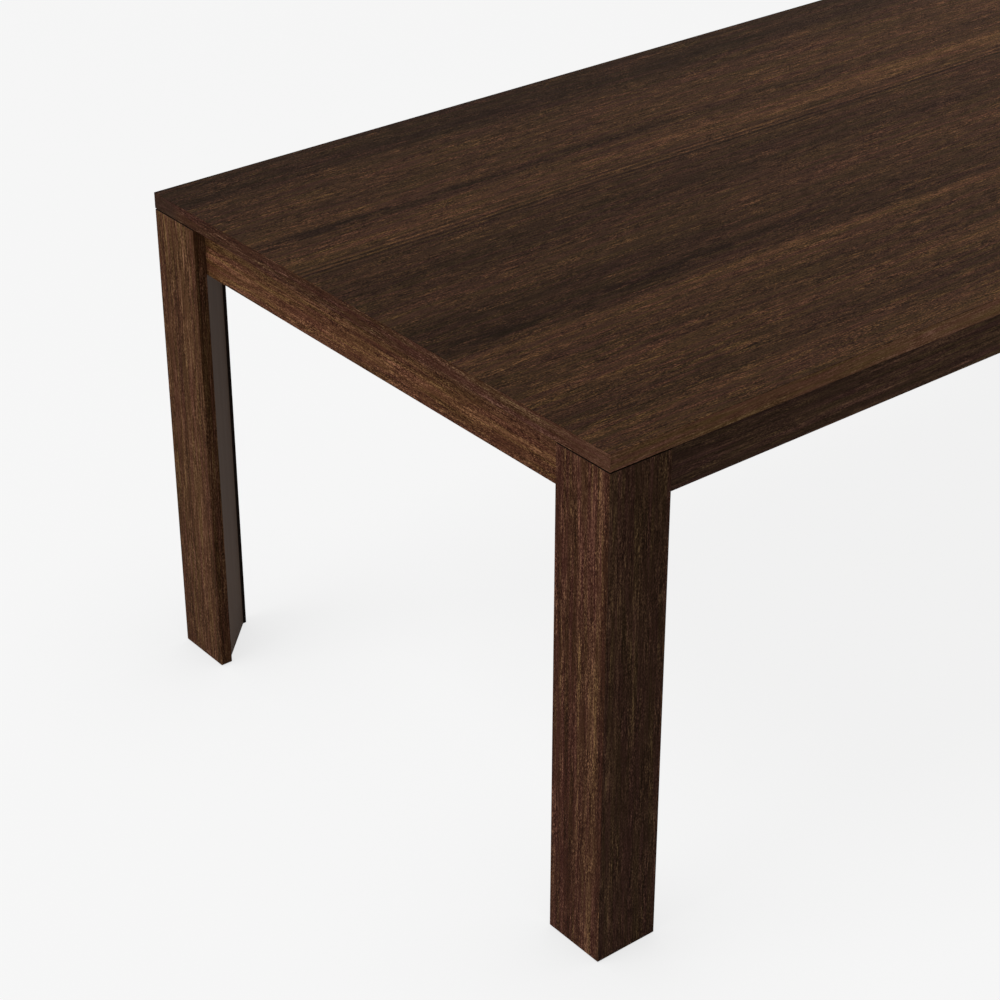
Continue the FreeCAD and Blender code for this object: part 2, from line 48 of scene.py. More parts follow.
class Value:
    """What a node gives. Arithmetic on it adds Math nodes to its tree."""

    def __init__(self, socket):
        self.socket = socket

    def node(self, kind, settings, inputs, result=0):
        """Adds a node, makes its settings, then fills or links its inputs, and gives one of its results."""
        tree = self.socket.id_data
        made = tree.nodes.new(kind)
        for name, value in settings.items():
            if name == "stops":
                while len(made.color_ramp.elements) < len(value):
                    made.color_ramp.elements.new(1.0)
                for stop, (position, colour) in zip(made.color_ramp.elements, value):
                    stop.position = position
                    stop.color = (*colour, 1.0)
            elif name == "items":
                while len(made.index_switch_items) < value:
                    made.index_switch_items.new()
            else:
                setattr(made, name, value)
        for name, value in inputs.items():
            for part in value if isinstance(value, list) else [value]:
                if isinstance(part, Value):
                    tree.links.new(part.socket, made.inputs[name])
                else:
                    made.inputs[name].default_value = part
        return Value(made.outputs[result])

    def maths(self, operation, *values):
        return self.node("ShaderNodeMath", {"operation": operation}, dict(enumerate(values)))

    def __add__(self, other):
        return self.maths("ADD", self, other)

    def __radd__(self, other):
        return self.maths("ADD", other, self)

    def __sub__(self, other):
        return self.maths("SUBTRACT", self, other)

    def __rsub__(self, other):
        return self.maths("SUBTRACT", other, self)

    def __mul__(self, other):
        return self.maths("MULTIPLY", self, other)

    def __rmul__(self, other):
        return self.maths("MULTIPLY", other, self)

    def __truediv__(self, other):
        return self.maths("DIVIDE", self, other)

    def __rtruediv__(self, other):
        return self.maths("DIVIDE", other, self)

    def __neg__(self):
        return self.maths("MULTIPLY", self, -1.0)

    def __abs__(self):
        return self.maths("ABSOLUTE", self)

    def ramp(self, low, high):
        """Eases from 0 to 1 as the value goes from low to high."""
        return self.node("ShaderNodeMapRange", {"interpolation_type": "SMOOTHSTEP"},
                         {"Value": self, "From Min": low, "From Max": high})

    def stripe(self, middle, half):
        """A soft stripe, 1 in its middle and gone a half width to either side."""
        return 1 - abs(self - middle).ramp(0.0, half)

    def most(self, other):
        """The greater of two values."""
        return self.maths("MAXIMUM", self, other)

    def split(self):
        """The three parts of a place."""
        parts = self.node("ShaderNodeSeparateXYZ", {}, {0: self}).socket.node.outputs
        return [Value(part) for part in parts]


class Finish:
    """A surface finish, drawn from the place on the table in metres."""

    def __init__(self, name, seed, constants):
        self.seed = seed
        self.material = bpy.data.materials.new(name)
        self.material.use_nodes = True
        tree = self.material.node_tree
        self.shader = tree.nodes["Principled BSDF"]
        for socket, value in constants.items():
            self.shader.inputs[socket].default_value = value
        self.place = Value(tree.nodes.new("ShaderNodeTexCoord").outputs["Object"])

    def cloud(self, stretch, layer, detail=2.0, rough=0.5, place=None):
        """Soft noise about 0, with so many lumps to the metre along each axis, different in each layer."""
        steps = ((3.17, 1.3), (5.71, 2.9), (1.93, 4.1))
        shift = tuple(self.seed * step + layer * leap for step, leap in steps)
        spot = self.place.node("ShaderNodeMapping", {}, {
            "Vector": place or self.place, "Scale": stretch, "Location": shift})
        return self.place.node("ShaderNodeTexNoise", {"noise_dimensions": "3D"}, {
            "Vector": spot, "Scale": 1.0, "Detail": detail, "Roughness": rough}) - 0.5

    def colour(self, tone, stops):
        """Colour from a tone of 0 to 1 through a row of stains."""
        return tone.node("ShaderNodeValToRGB", {"stops": stops}, {0: tone})

    def mix(self, share, first, second, blend="MIX"):
        """Colour of a first coat with a share of a second."""
        return self.place.node("ShaderNodeMix", {"data_type": "RGBA", "blend_type": blend}, {
            0: share, 6: first, 7: second}, 2)

    def feed(self, socket, value):
        self.material.node_tree.links.new(value.socket, self.shader.inputs[socket])

    def relief(self, height, depth, strength):
        """Raises the surface by a height of 0 to 1, so many metres deep."""
        self.feed("Normal", height.node("ShaderNodeBump", {}, {
            "Strength": strength, "Distance": depth, "Height": height}))

    def dress(self, *names):
        for name in names:
            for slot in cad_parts[name].material_slots:
                slot.material = self.material


class Timber(Finish):
    """Wood with its grain along one axis: bands, streaks, threads, flecks and pores that wander a little."""

    def __init__(self, name, along, seed, constants):
        super().__init__(name, seed, constants)
        self.axis = "XYZ".index(along)
        sway = self.cloud(self.stretched(0.9, 2.5), 1, 1.0) * 0.03
        ripple = self.cloud(self.stretched(11.0, 22.0), 2, 1.0) * 0.003
        push = [sway + ripple] * 3
        push[self.axis] = 0.0
        push = self.place.node("ShaderNodeCombineXYZ", {}, dict(enumerate(push)))
        self.bent = self.place.node("ShaderNodeVectorMath", {"operation": "ADD"}, {0: self.place, 1: push})
        self.bands = self.cloud(self.stretched(0.5, 14.0), 3, 2.0, 0.5, self.bent)
        self.streaks = self.cloud(self.stretched(3.0, 95.0), 4, 2.0, 0.6, self.bent)
        self.threads = self.cloud(self.stretched(13.0, 420.0), 5, 2.0, 0.6, self.bent)
        self.flecks = self.cloud(self.stretched(40.0, 620.0), 6, 2.0, 0.6, self.bent)
        self.pores = self.cloud(self.stretched(270.0, 900.0), 7, 1.0, 0.6, self.bent)

    def stretched(self, lengthwise, crosswise):
        stretch = [crosswise] * 3
        stretch[self.axis] = lengthwise
        return tuple(stretch)


class Walnut(Timber):
    """Walnut in a dark stain under a thin satin lacquer, which dulls over the open pores."""

    def __init__(self, name, along, seed):
        super().__init__(name, along, seed, {"Specular IOR Level": 0.012})

    def stain(self, tone, stains, bands=0.5, streaks=0.7, threads=0.65, pores=1.3, fine=1.0, black_share=None):
        """Stains the wood about a tone, and mixes it by the black share towards nearly black."""
        flames = self.streaks.ramp(0.0, 0.16) * self.threads.ramp(0.0, 0.16)
        grain = (self.threads + flames * 0.28) * threads + self.flecks * 1.15 + self.pores * pores
        lively = self.cloud(self.stretched(14.0, 65.0), 13, 2.0, 0.5, self.bent) * 2.4 + 0.96
        shade = self.bands * bands + self.streaks * streaks + grain * lively * fine + tone
        ruddy = self.cloud(self.stretched(6.0, 150.0), 10, 2.0, 0.5, self.bent)
        tint = self.colour(ruddy * 2.0 + 0.5, [(0.2, (0.96, 1.07, 0.87)), (0.8, (1.04, 0.94, 1.10))])
        colour = self.mix(1.0, self.colour(shade, stains), tint, "MULTIPLY")
        if black_share is not None:
            nearly_black = (0.010, 0.0062, 0.0046, 1.0)
            colour = self.mix(black_share, colour, nearly_black)
        self.feed("Base Color", colour)
        self.feed("Roughness", self.flecks * -0.3 - self.pores * 0.3 + 0.53)
        self.relief(self.flecks * 0.6 + self.pores * 0.8 + 0.5, 0.0002, 0.3)


end_aprons = Walnut("walnut_end_apron", "Y", 1)
z = end_aprons.place.split()[2]
# A paler streak along the middle, and painted light just under the top against the shade of its overhang.
streak_and_painted_light = z.stripe(0.694, 0.012) * 0.14 + z.ramp(0.706, 0.719) * 0.17 - (1 - z.ramp(0.664, 0.684)) * 0.04
end_aprons.stain(streak_and_painted_light + 0.47, [
    (0.0, (0.019, 0.0071, 0.0033)), (0.3, (0.044, 0.0165, 0.0080)), (0.5, (0.079, 0.0312, 0.0140)),
    (0.7, (0.126, 0.0575, 0.0263)), (1.0, (0.26, 0.127, 0.059))], threads=0.5, pores=1.7)
end_aprons.dress("left_end_apron", "right_end_apron")
side_aprons = Walnut("walnut_side_apron", "X", 2)
x, y, z = side_aprons.place.split()
# Painted shade just under the top, from its overhang, and lighter from the left end towards the middle.
side_aprons.stain(x.ramp(-0.95, -0.2) * 0.14 - z.ramp(0.695, 0.712) * 0.11 + 0.42, [
    (0.0, (0.012, 0.0058, 0.0034)), (0.3, (0.031, 0.0155, 0.0098)), (0.5, (0.053, 0.0272, 0.0178)),
    (0.7, (0.100, 0.0535, 0.0300)), (1.0, (0.20, 0.110, 0.060))], streaks=0.6, fine=0.65)
side_aprons.dress("near_side_apron", "far_side_apron")

# Frame dowels: fluted beech pins, glued through the butt joint of each end apron and side apron.
# Each is 30 mm long and 8 mm thick with pressed flutes and bevelled ends, two to a corner.


def sizes_of(name, labels):
    """Starts a tree of geometry nodes with named sizes, and gives the tree and what goes into it."""
    tree = bpy.data.node_groups.new(name, "GeometryNodeTree")
    tree.interface.new_socket("Made", in_out="OUTPUT", socket_type="NodeSocketGeometry")
    for label in ["Places", "Finish"] + labels:
        kind = {"Places": "Geometry", "Finish": "Material"}.get(label, "Float")
        tree.interface.new_socket(label, in_out="INPUT", socket_type=f"NodeSocket{kind}")
    return tree, [Value(socket) for socket in tree.nodes.new("NodeGroupInput").outputs if socket.name]


def turned(start, outline, section):
    """A piece turned on its own upright axis, from its outline of radius and height, foot first."""
    count = start.node("GeometryNodeInputIndex", {}, {})
    switch = {"data_type": "FLOAT", "items": len(outline)}
    girth = start.node("GeometryNodeIndexSwitch", switch, {
        0: count, **{number: radius for number, (radius, height) in enumerate(outline, start=1)}})
    level = start.node("GeometryNodeIndexSwitch", switch, {
        0: count, **{number: height for number, (radius, height) in enumerate(outline, start=1)}})
    line = start.node("GeometryNodeMeshLine", {}, {"Count": len(outline), "Offset": (0.0, 0.0, 0.001)})
    axis = start.node("GeometryNodeSetPosition", {}, {
        "Geometry": line, "Position": start.node("ShaderNodeCombineXYZ", {}, {"Z": level})})
    path = start.node("GeometryNodeMeshToCurve", {}, {"Mesh": axis})
    return start.node("GeometryNodeCurveToMesh", {}, {
        "Curve": path, "Profile Curve": section, "Scale": girth, "Fill Caps": True})


def ring(start, sides, radius=1.0):
    return start.node("GeometryNodeCurvePrimitiveCircle", {"mode": "RADIUS"}, {
        "Resolution": sides, "Radius": radius})


def set_out(tree, places, finish, piece):
    """Ends a tree: the piece at every place, turned at random about the way it faces, in its finish."""
    facing = piece.node("GeometryNodeInputNamedAttribute", {"data_type": "FLOAT_VECTOR"}, {"Name": "facing"})
    aligned = piece.node("FunctionNodeAlignRotationToVector", {"axis": "Z"}, {"Vector": facing})
    full_turn, seed = 6.28, 7
    spin = piece.node("FunctionNodeRandomValue", {"data_type": "FLOAT"}, {2: 0.0, 3: full_turn, 8: seed}, 1)
    spun = piece.node("FunctionNodeAxisAngleToRotation", {}, {"Axis": (0.0, 0.0, 1.0), "Angle": spin})
    turn = piece.node("FunctionNodeRotateRotation", {"rotation_space": "LOCAL"}, {0: aligned, 1: spun})
    placed = piece.node("GeometryNodeInstanceOnPoints", {}, {
        "Points": places, "Instance": piece, "Rotation": turn})
    whole = piece.node("GeometryNodeRealizeInstances", {}, {0: placed})
    dressed = piece.node("GeometryNodeSetMaterial", {}, {"Geometry": whole, "Material": finish})
    tree.links.new(dressed.socket, tree.nodes.new("NodeGroupOutput").inputs[0])


def fitted(name, tree, places, finish, sizes):
    """Makes a tree's pieces as one plain mesh, at places that each have a point and a way to face."""
    points = bpy.data.meshes.new(f"{name}_places")
    points.from_pydata([spot for spot, facing in places], [], [])
    facings = points.attributes.new("facing", "FLOAT_VECTOR", "POINT")
    for point, (spot, facing) in zip(facings.data, places):
        point.vector = facing
    piece = bpy.data.objects.new(name, points)
    bpy.context.scene.collection.objects.link(piece)
    maker = piece.modifiers.new("maker", "NODES")
    maker.node_group = tree
    given = {"Finish": finish.material, **sizes}
    for item in tree.interface.items_tree:
        if item.name in given:
            maker[item.identifier] = given[item.name]
    mesh = bpy.data.meshes.new_from_object(piece.evaluated_get(bpy.context.evaluated_depsgraph_get()))
    piece.modifiers.clear()
    piece.data = mesh
    mesh.shade_smooth()
    mesh.set_sharp_from_angle(angle=0.6)
    return piece


def all_corners(places):
    """The near left quarter's places, in millimetres, and their images in the other quarters, in metres."""
    return [((x * side / 1000, y * end / 1000, z / 1000), (along * side, across * end, up))
            for (x, y, z), (along, across, up) in places for side in (1, -1) for end in (1, -1)]


dowel_tree, (spots, finish, radius, length) = sizes_of("fluted_dowel", ["Radius", "Length"])
flutes = radius.node("GeometryNodeCurveStar", {}, {
    "Points": 14, "Inner Radius": 0.925, "Outer Radius": 1.0, "Twist": 0.0})
bevel = radius * 0.25
dowel = turned(radius, [
    (radius - bevel, 0.0), (radius, bevel), (radius, length - bevel), (radius - bevel, length)], flutes)
set_out(dowel_tree, spots, finish, dowel)

beech = Timber("dowel_beech", "Y", 12, {"Specular IOR Level": 0.2})
beech.feed("Base Color", beech.colour(beech.threads * 0.6 + beech.flecks * 1.2 + 0.5, [
    (0.0, (0.38, 0.235, 0.130)), (0.5, (0.55, 0.38, 0.24)), (1.0, (0.66, 0.49, 0.34))]))
beech.feed("Roughness", beech.flecks * 0.4 + 0.62)
dowels = fitted("fluted_dowels", dowel_tree, all_corners([
    ((-961.5, -470.0, level), (0, 1, 0)) for level in (685.0, 725.0)]), beech, {
        "Radius": 0.004, "Length": 0.03})
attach(dowels, "table")
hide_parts("frame_dowels")

# Corner blocks: five-sided hardwood blocks, planed and left bare, glued into the frame's corners.
# Each is screwed to both of its aprons, with the heads sunk in counterbores.
CORNERS = ("near_left", "near_right", "far_left", "far_right")
HARDWOOD = [(0.0, (0.30, 0.185, 0.100)), (0.4, (0.43, 0.285, 0.165)), (0.6, (0.50, 0.345, 0.21)),
            (1.0, (0.62, 0.455, 0.30))]


def hardwood(name, along, seed):
    """Bare planed hardwood, with a faint ray fleck."""
    wood = Timber(name, along, seed, {"Specular IOR Level": 0.2})
    shade = wood.bands * 0.7 + wood.streaks * 0.6 + wood.threads * 0.4 + wood.flecks * 0.5 + wood.pores * 0.5
    wood.feed("Base Color", wood.colour(shade + 0.5, HARDWOOD))
    wood.feed("Roughness", wood.flecks * -0.2 - wood.pores * 0.2 + 0.64)
    wood.relief(wood.threads * 0.6 + wood.pores * 0.6 + 0.5, 0.0002, 0.3)
    return wood


hardwood("hardwood_corner_block", "Z", 13).dress(*(f"{corner}_corner_block" for corner in CORNERS))

# Corner block screws: zinc-plated steel wood screws with pan heads and cross recesses, four to a block.
# Each bites 14 mm past the 8 mm of block under its head.
screw_tree, (spots, finish, length, head, crown, core, pitch) = sizes_of(
    "wood_screw", ["Length", "Head Radius", "Head Height", "Core Radius", "Pitch"])
blank = turned(length, [
    (core * 0.15, -length), (core * 0.7, -length + 0.0022), (core, -length + 0.004), (core, -0.00002),
    (head, 0.0), (head, crown * 0.6), (head - 0.0004, crown * 0.85), (head - 0.0012, crown)],
    ring(length, 18))
arm = {"X": head * 1.15, "Y": 0.0009, "Z": 0.0026}
cross = [length.node("GeometryNodeTransform", {}, {
    "Geometry": length.node("GeometryNodeMeshCube", {}, {
        "Size": length.node("ShaderNodeCombineXYZ", {}, dict(zip("XYZ", [arm[way] for way in ways])))}),
    "Translation": length.node("ShaderNodeCombineXYZ", {}, {"Z": crown})}) for ways in ("XYZ", "YXZ")]
driven = length.node("GeometryNodeMeshBoolean", {"operation": "DIFFERENCE", "solver": "EXACT"}, {
    "Mesh 1": blank, "Mesh 2": cross})


def thread(start, foot, height, core, depth, pitch):
    """A screw thread wound round a core, from its foot upwards."""
    winding = start.node("GeometryNodeCurveSpiral", {}, {
        "Resolution": 14, "Rotations": height / pitch, "Start Radius": core, "End Radius": core,
        "Height": height})
    level = start.node("GeometryNodeSetCurveNormal", {"mode": "Z_UP"}, {"Curve": winding})
    wound = start.node("GeometryNodeCurveToMesh", {}, {
        "Curve": level, "Profile Curve": ring(start, 3, depth), "Fill Caps": True})
    return start.node("GeometryNodeTransform", {}, {
        "Geometry": wound, "Translation": start.node("ShaderNodeCombineXYZ", {}, {"Z": foot})})


ridges = thread(length, -length + 0.0035, length - 0.005, core, core * 0.33, pitch)
set_out(screw_tree, spots, finish, length.node("GeometryNodeJoinGeometry", {}, {0: [driven, ridges]}))
SCREW = {"Head Radius": 0.004, "Head Height": 0.0024, "Core Radius": 0.0015, "Pitch": 0.0018}

zinc = Finish("zinc_plate", 14, {"Metallic": 1.0})
spangle = zinc.cloud((420.0, 420.0, 420.0), 1, 3.0, 0.6)
dulling = zinc.cloud((60.0, 60.0, 60.0), 2, 2.0)
zinc.feed("Base Color", zinc.colour(spangle * 0.8 + dulling * 0.7 + 0.5, [
    (0.0, (0.38, 0.385, 0.39)), (0.5, (0.60, 0.60, 0.58)), (1.0, (0.74, 0.74, 0.71))]))
zinc.feed("Roughness", spangle * 0.25 + dulling * 0.3 + 0.36)
corner_screws = fitted("corner_screws", screw_tree, all_corners([
    ((-928.0, -450.0, 685.0), (0, 1, 0)), ((-928.0, -450.0, 725.0), (0, 1, 0)),
    ((-944.0, -434.0, 695.0), (1, 0, 0)), ((-944.0, -434.0, 715.0), (1, 0, 0))]), zinc, {
        "Length": 0.022, **SCREW})
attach(corner_screws, "table")
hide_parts("corner_block_screws")

# Cross rails: two bare hardwood rails on edge under the top, across the frame from apron to apron.
# They stop the long top from sagging, and an angle bracket holds each end.
hardwood("hardwood_rail", "Y", 15).dress("left_cross_rail", "right_cross_rail")

# Rail brackets and their screws: right-angle steel brackets, pressed and zinc plated, in the corner of
# a rail and a side apron, with one screw through each leg.
brackets = Finish("zinc_bracket", 16, {"Metallic": 1.0})
rolled = brackets.cloud((90.0, 90.0, 700.0), 1, 3.0, 0.6)
smears = brackets.cloud((45.0, 45.0, 45.0), 2, 3.0)
brackets.feed("Base Color", brackets.colour(rolled * 0.6 + smears * 0.9 + 0.5, [
    (0.0, (0.36, 0.365, 0.37)), (0.5, (0.59, 0.59, 0.575)), (1.0, (0.74, 0.74, 0.71))]))
brackets.feed("Roughness", rolled * 0.3 + smears * 0.35 + 0.4)
brackets.dress("rail_brackets")
rail_screws = fitted("rail_screws", screw_tree, all_corners([
    ((-302.5, -456.0, 707.0), (0, 1, 0)), ((-318.5, -440.0, 707.0), (1, 0, 0))]), zinc, {
        "Length": 0.016, **SCREW})
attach(rail_screws, "table")
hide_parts("rail_bracket_screws")

# Leg boards: each leg is an end board and a side board of 19 mm walnut, mitred along the outer corner.
# The grain is upright and the edges are eased. Head ends, hidden backs and the end boards' inner edges
# are painted towards black: painted shade of the gap under the top, the hollow and the recess by the
# back panel, and on the head ends also end grain that drinks stain.
HEAD_END = (0.7356, 0.7361)
INNER_EDGE = (0.3976, 0.3986)
END_BOARD_BACK = (0.9711, 0.9714)
SIDE_BOARD_BACK = (0.4771, 0.4774)

near_ends = Walnut("walnut_leg_end_near", "Z", 3)
x, y, z = near_ends.bent.split()
upper = z.ramp(0.30, 0.60)
foot = 1 - z.ramp(0.08, 0.18)
needles = near_ends.cloud(near_ends.stretched(5.0, 330.0), 11, 1.0, 0.5, near_ends.bent).ramp(-0.05, 0.13)
light = (y.stripe(-0.4448, 0.007) * (z.stripe(0.46, 0.2) * 0.15 + 0.03)
         + y.stripe(-0.401, 0.007) * z.stripe(0.5, 0.25) * 0.16
         + y.stripe(-0.472, 0.015) * (upper * 0.22 + 0.05))
light = (light * needles + y.stripe(-0.478, 0.02) * 0.02 - y.stripe(-0.425, 0.025) * 0.04
         - y.stripe(-0.474, 0.022) * z.stripe(0.23, 0.09) * 0.1
         - y.stripe(-0.4448, 0.009) * z.stripe(0.66, 0.1) * 0.12)
x, y, z = near_ends.place.split()
light = light + y.stripe(-0.471, 0.011) * foot * 0.14 - abs(y).ramp(0.4835, 0.4905) * 0.12
# Head end, hidden back and inner edge go towards nearly black: painted shade of the joint gap, hollow and
# recess, with end grain that drinks stain at the head.
inner = 1 - abs(y).ramp(*INNER_EDGE)
blackened = z.ramp(*HEAD_END).most(1 - abs(x).ramp(*END_BOARD_BACK)).most(inner * 0.3)
near_ends.stain(light + 0.443, [
    (0.0, (0.014, 0.0049, 0.0026)), (0.3, (0.0346, 0.0120, 0.0064)), (0.5, (0.0520, 0.0203, 0.0113)),
    (0.7, (0.096, 0.0440, 0.0245)), (1.0, (0.22, 0.111, 0.056))], threads=0.5, pores=1.6, black_share=blackened)
near_ends.dress("near_left_leg_end_board", "near_right_leg_end_board")

far_ends = Walnut("walnut_leg_end_far", "Z", 4)
x, y, z = far_ends.place.split()
# As on the near boards, painted shade takes the head end, hidden back and inner edge towards nearly black;
# the inner edge's tone is raised a little.
inner = 1 - abs(y).ramp(*INNER_EDGE)
blackened = z.ramp(*HEAD_END).most(1 - abs(x).ramp(*END_BOARD_BACK)).most(inner * 0.2)
light = (inner * 0.11 + y.ramp(0.399, 0.413) * 0.12 + y.stripe(0.4285, 0.013) * 0.04
         - y.stripe(0.4525, 0.009) * 0.05 + y.stripe(0.464, 0.009) * 0.04 + z.ramp(0.06, 0.2) * 0.08)
far_ends.stain(light + 0.272, [
    (0.0, (0.0186, 0.0073, 0.0031)), (0.3, (0.0432, 0.0166, 0.0071)), (0.5, (0.0693, 0.0294, 0.0131)),
    (0.7, (0.0995, 0.0467, 0.0226)), (1.0, (0.19, 0.098, 0.049))],
    bands=0.5, streaks=0.6, threads=0.9, fine=1.25, black_share=blackened)
far_ends.dress("far_left_leg_end_board", "far_right_leg_end_board")

sides = Walnut("walnut_leg_side", "Z", 5)
x, y, z = sides.bent.split()
light = (abs(x).stripe(0.939, 0.006) * z.stripe(0.49, 0.14) * 0.17
         + abs(x).stripe(0.977, 0.008) * z.stripe(0.30, 0.09) * 0.13)
x, y, z = sides.place.split()
light = light - abs(x).ramp(0.970, 0.986) * (1 - z.ramp(0.28, 0.42)) * 0.1
# Head end and hidden back go to nearly black: painted shade of the joint gap and hollow, with end grain that
# drinks stain at the head.
blackened = z.ramp(*HEAD_END).most(1 - abs(y).ramp(*SIDE_BOARD_BACK))
sides.stain(light + 0.445, [
    (0.0, (0.012, 0.0052, 0.0026)), (0.3, (0.0293, 0.0132, 0.0068)), (0.5, (0.0458, 0.0214, 0.0127)),
    (0.7, (0.0794, 0.0400, 0.0226)), (1.0, (0.17, 0.092, 0.049))],
    bands=0.3, streaks=0.4, threads=0.5, fine=1.08, black_share=blackened)
sides.dress(*(f"{corner}_leg_side_board" for corner in CORNERS))

# Leg blocks: three-sided hardwood blocks glued into the leg's hollow, bare off the saw.
# One at the head stiffens the mitre, and one near the floor is bored for the levelling foot.
hardwood("hardwood_leg_block", "Z", 17).dress(
    *(f"{corner}_leg_{end}_block" for corner in CORNERS for end in ("head", "foot")))

# Back panels: 9 mm plywood, bevelled on both long edges and glued slantwise between the leg boards.
# They are stained a plain grey-brown, matt and nearly without figure.
panels = Timber("stained_panel", "Z", 6, {"Specular IOR Level": 0.02})
panels.feed("Base Color", panels.colour(
    panels.bands * 0.3 + panels.streaks * 0.25 + panels.threads * 0.2 + panels.flecks * 0.15 + 0.5, [
        (0.0, (0.045, 0.030, 0.022)), (0.5, (0.095, 0.063, 0.046)), (1.0, (0.15, 0.104, 0.079))]))
panels.feed("Roughness", panels.flecks * 0.25 + 0.62)
panels.relief(panels.threads + 0.5, 0.0001, 0.3)
panels.dress(*(f"{corner}_leg_back_panel" for corner in CORNERS))

# Bolt inserts: turned brass bushes, threaded inside and out, which take the leg bolts.
# They are driven into holes in the back of each leg board, flush with it.
brass = Finish("turned_brass", 18, {"Metallic": 1.0})
turning = brass.cloud((900.0, 900.0, 900.0), 1, 2.0)
tarnish = brass.cloud((140.0, 140.0, 140.0), 2, 3.0)
brass.feed("Base Color", brass.colour(turning * 0.3 + tarnish * 1.0 + 0.5, [
    (0.0, (0.42, 0.28, 0.10)), (0.5, (0.70, 0.52, 0.22)), (1.0, (0.80, 0.64, 0.32))]))
brass.feed("Roughness", turning * 0.3 + tarnish * 0.3 + 0.34)
brass.dress("leg_bolt_inserts")

# Leg bolts and washers: black button-head bolts with hexagon sockets, driven from inside the frame
# through plated washers and the aprons into the brass inserts, four to a leg.
bolt_tree, (spots, finish, length, radius, head, crown, socket, seat) = sizes_of(
    "button_head_bolt", ["Length", "Radius", "Head Radius", "Head Height", "Socket Radius", "Washer"])
core = radius * 0.87
blank = turned(length, [
    (core * 0.8, -length), (core, -length + 0.0006), (core, seat - 0.00002), (head, seat),
    (head, seat + crown * 0.2), (head * 0.93, seat + crown * 0.55), (head * 0.78, seat + crown * 0.84),
    (head * 0.55, seat + crown)], ring(length, 28))
hexagon = length.node("GeometryNodeTransform", {}, {
    "Geometry": length.node("GeometryNodeMeshCylinder", {}, {
        "Vertices": 6, "Radius": socket, "Depth": 0.0044}),
    "Translation": length.node("ShaderNodeCombineXYZ", {}, {"Z": seat + crown})})
driven = length.node("GeometryNodeMeshBoolean", {"operation": "DIFFERENCE", "solver": "EXACT"}, {
    "Mesh 1": blank, "Mesh 2": [hexagon]})
ridges = thread(length, -length + 0.0008, length - 0.001, core, radius * 0.125, 0.001)
set_out(bolt_tree, spots, finish, length.node("GeometryNodeJoinGeometry", {}, {0: [driven, ridges]}))

oxide = Finish("black_oxide", 19, {"Metallic": 1.0})
bloom = oxide.cloud((260.0, 260.0, 260.0), 1, 3.0, 0.6)
rubbed = oxide.cloud((900.0, 900.0, 900.0), 2, 2.0).ramp(0.12, 0.26)
oxide.feed("Base Color", oxide.colour(bloom * 0.8 + rubbed * 0.3 + 0.42, [
    (0.0, (0.018, 0.018, 0.020)), (0.5, (0.045, 0.045, 0.048)), (1.0, (0.15, 0.15, 0.155))]))
oxide.feed("Roughness", bloom * 0.4 - rubbed * 0.1 + 0.46)
levels = (683.0, 717.0)
bolts = fitted("leg_bolts_threaded", bolt_tree, all_corners(
    [((-952.0, -414.0, level), (1, 0, 0)) for level in levels]
    + [((-908.0, -458.0, level), (0, 1, 0)) for level in levels]), oxide, {
        "Length": 0.03, "Radius": 0.003, "Head Radius": 0.0065, "Head Height": 0.0035,
        "Socket Radius": 0.0023, "Washer": 0.0015})
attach(bolts, "table")
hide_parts("leg_bolts")
zinc.dress("leg_bolt_washers")

# Levelling feet: a flanged nut driven up into each foot block, a threaded stem with a spanner collar,
# and a black nylon pad that swivels on the stem's ball. Nut and stem are plated steel.
zinc.dress("foot_nuts")
stem_tree, (spots, finish, radius, top, pitch) = sizes_of("levelling_stem", ["Radius", "Top", "Pitch"])
core = radius * 0.85
spindle = turned(radius, [
    (0.0048, 0.0030), (0.0060, 0.0036), (0.0060, 0.0048), (0.0052, 0.0054), (radius, 0.00542),
    (radius, 0.0136), (core, 0.0141), (core, top - 0.001), (core * 0.82, top)], ring(radius, 24))
rounded = turned(radius, [
    (0.0066, 0.0083), (0.0076, 0.0089), (0.0076, 0.0127), (0.0066, 0.0133)], ring(radius, 36))
across_flats = 0.013
flats = radius.node("GeometryNodeTransform", {}, {
    "Geometry": radius.node("GeometryNodeMeshCylinder", {}, {
        "Vertices": 6, "Radius": across_flats / 3 ** 0.5, "Depth": 0.006}),
    "Translation": (0.0, 0.0, 0.0108)})
collar = radius.node("GeometryNodeMeshBoolean", {"operation": "INTERSECT", "solver": "EXACT"}, {
    "Mesh 2": [rounded, flats]})
collar = radius.node("GeometryNodeMergeByDistance", {}, {"Geometry": collar, "Distance": 0.00001})
ridges = thread(radius, 0.0142, top - 0.0156, core, radius * 0.145, pitch)
set_out(stem_tree, spots, finish, radius.node("GeometryNodeJoinGeometry", {}, {0: [spindle, collar, ridges]}))
for corner in CORNERS:
    low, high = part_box(f"{corner}_foot_stem")
    middle = ((low[0] + high[0]) / 2, (low[1] + high[1]) / 2, 0.0)
    stem = fitted(f"{corner}_threaded_stem", stem_tree, [(middle, (0, 0, 1))], zinc, {
        "Radius": 0.004, "Top": high[2], "Pitch": 0.00125})
    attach(stem, f"{corner}_stem")
    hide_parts(f"{corner}_foot_stem")

nylon = Finish("pad_nylon", 20, {"Specular IOR Level": 0.4})
moulding = nylon.cloud((700.0, 700.0, 700.0), 1, 2.0)
scuffs = nylon.cloud((180.0, 180.0, 60.0), 2, 3.0).ramp(0.05, 0.2)
nylon.feed("Base Color", nylon.colour(moulding * 0.5 + scuffs * 0.25 + 0.42, [
    (0.0, (0.020, 0.020, 0.021)), (0.5, (0.032, 0.032, 0.033)), (1.0, (0.075, 0.074, 0.072))]))
nylon.feed("Roughness", moulding * 0.3 + scuffs * 0.12 + 0.55)
nylon.relief(moulding + 0.5, 0.0001, 0.3)
nylon.dress(*(f"{corner}_foot_pad" for corner in CORNERS))

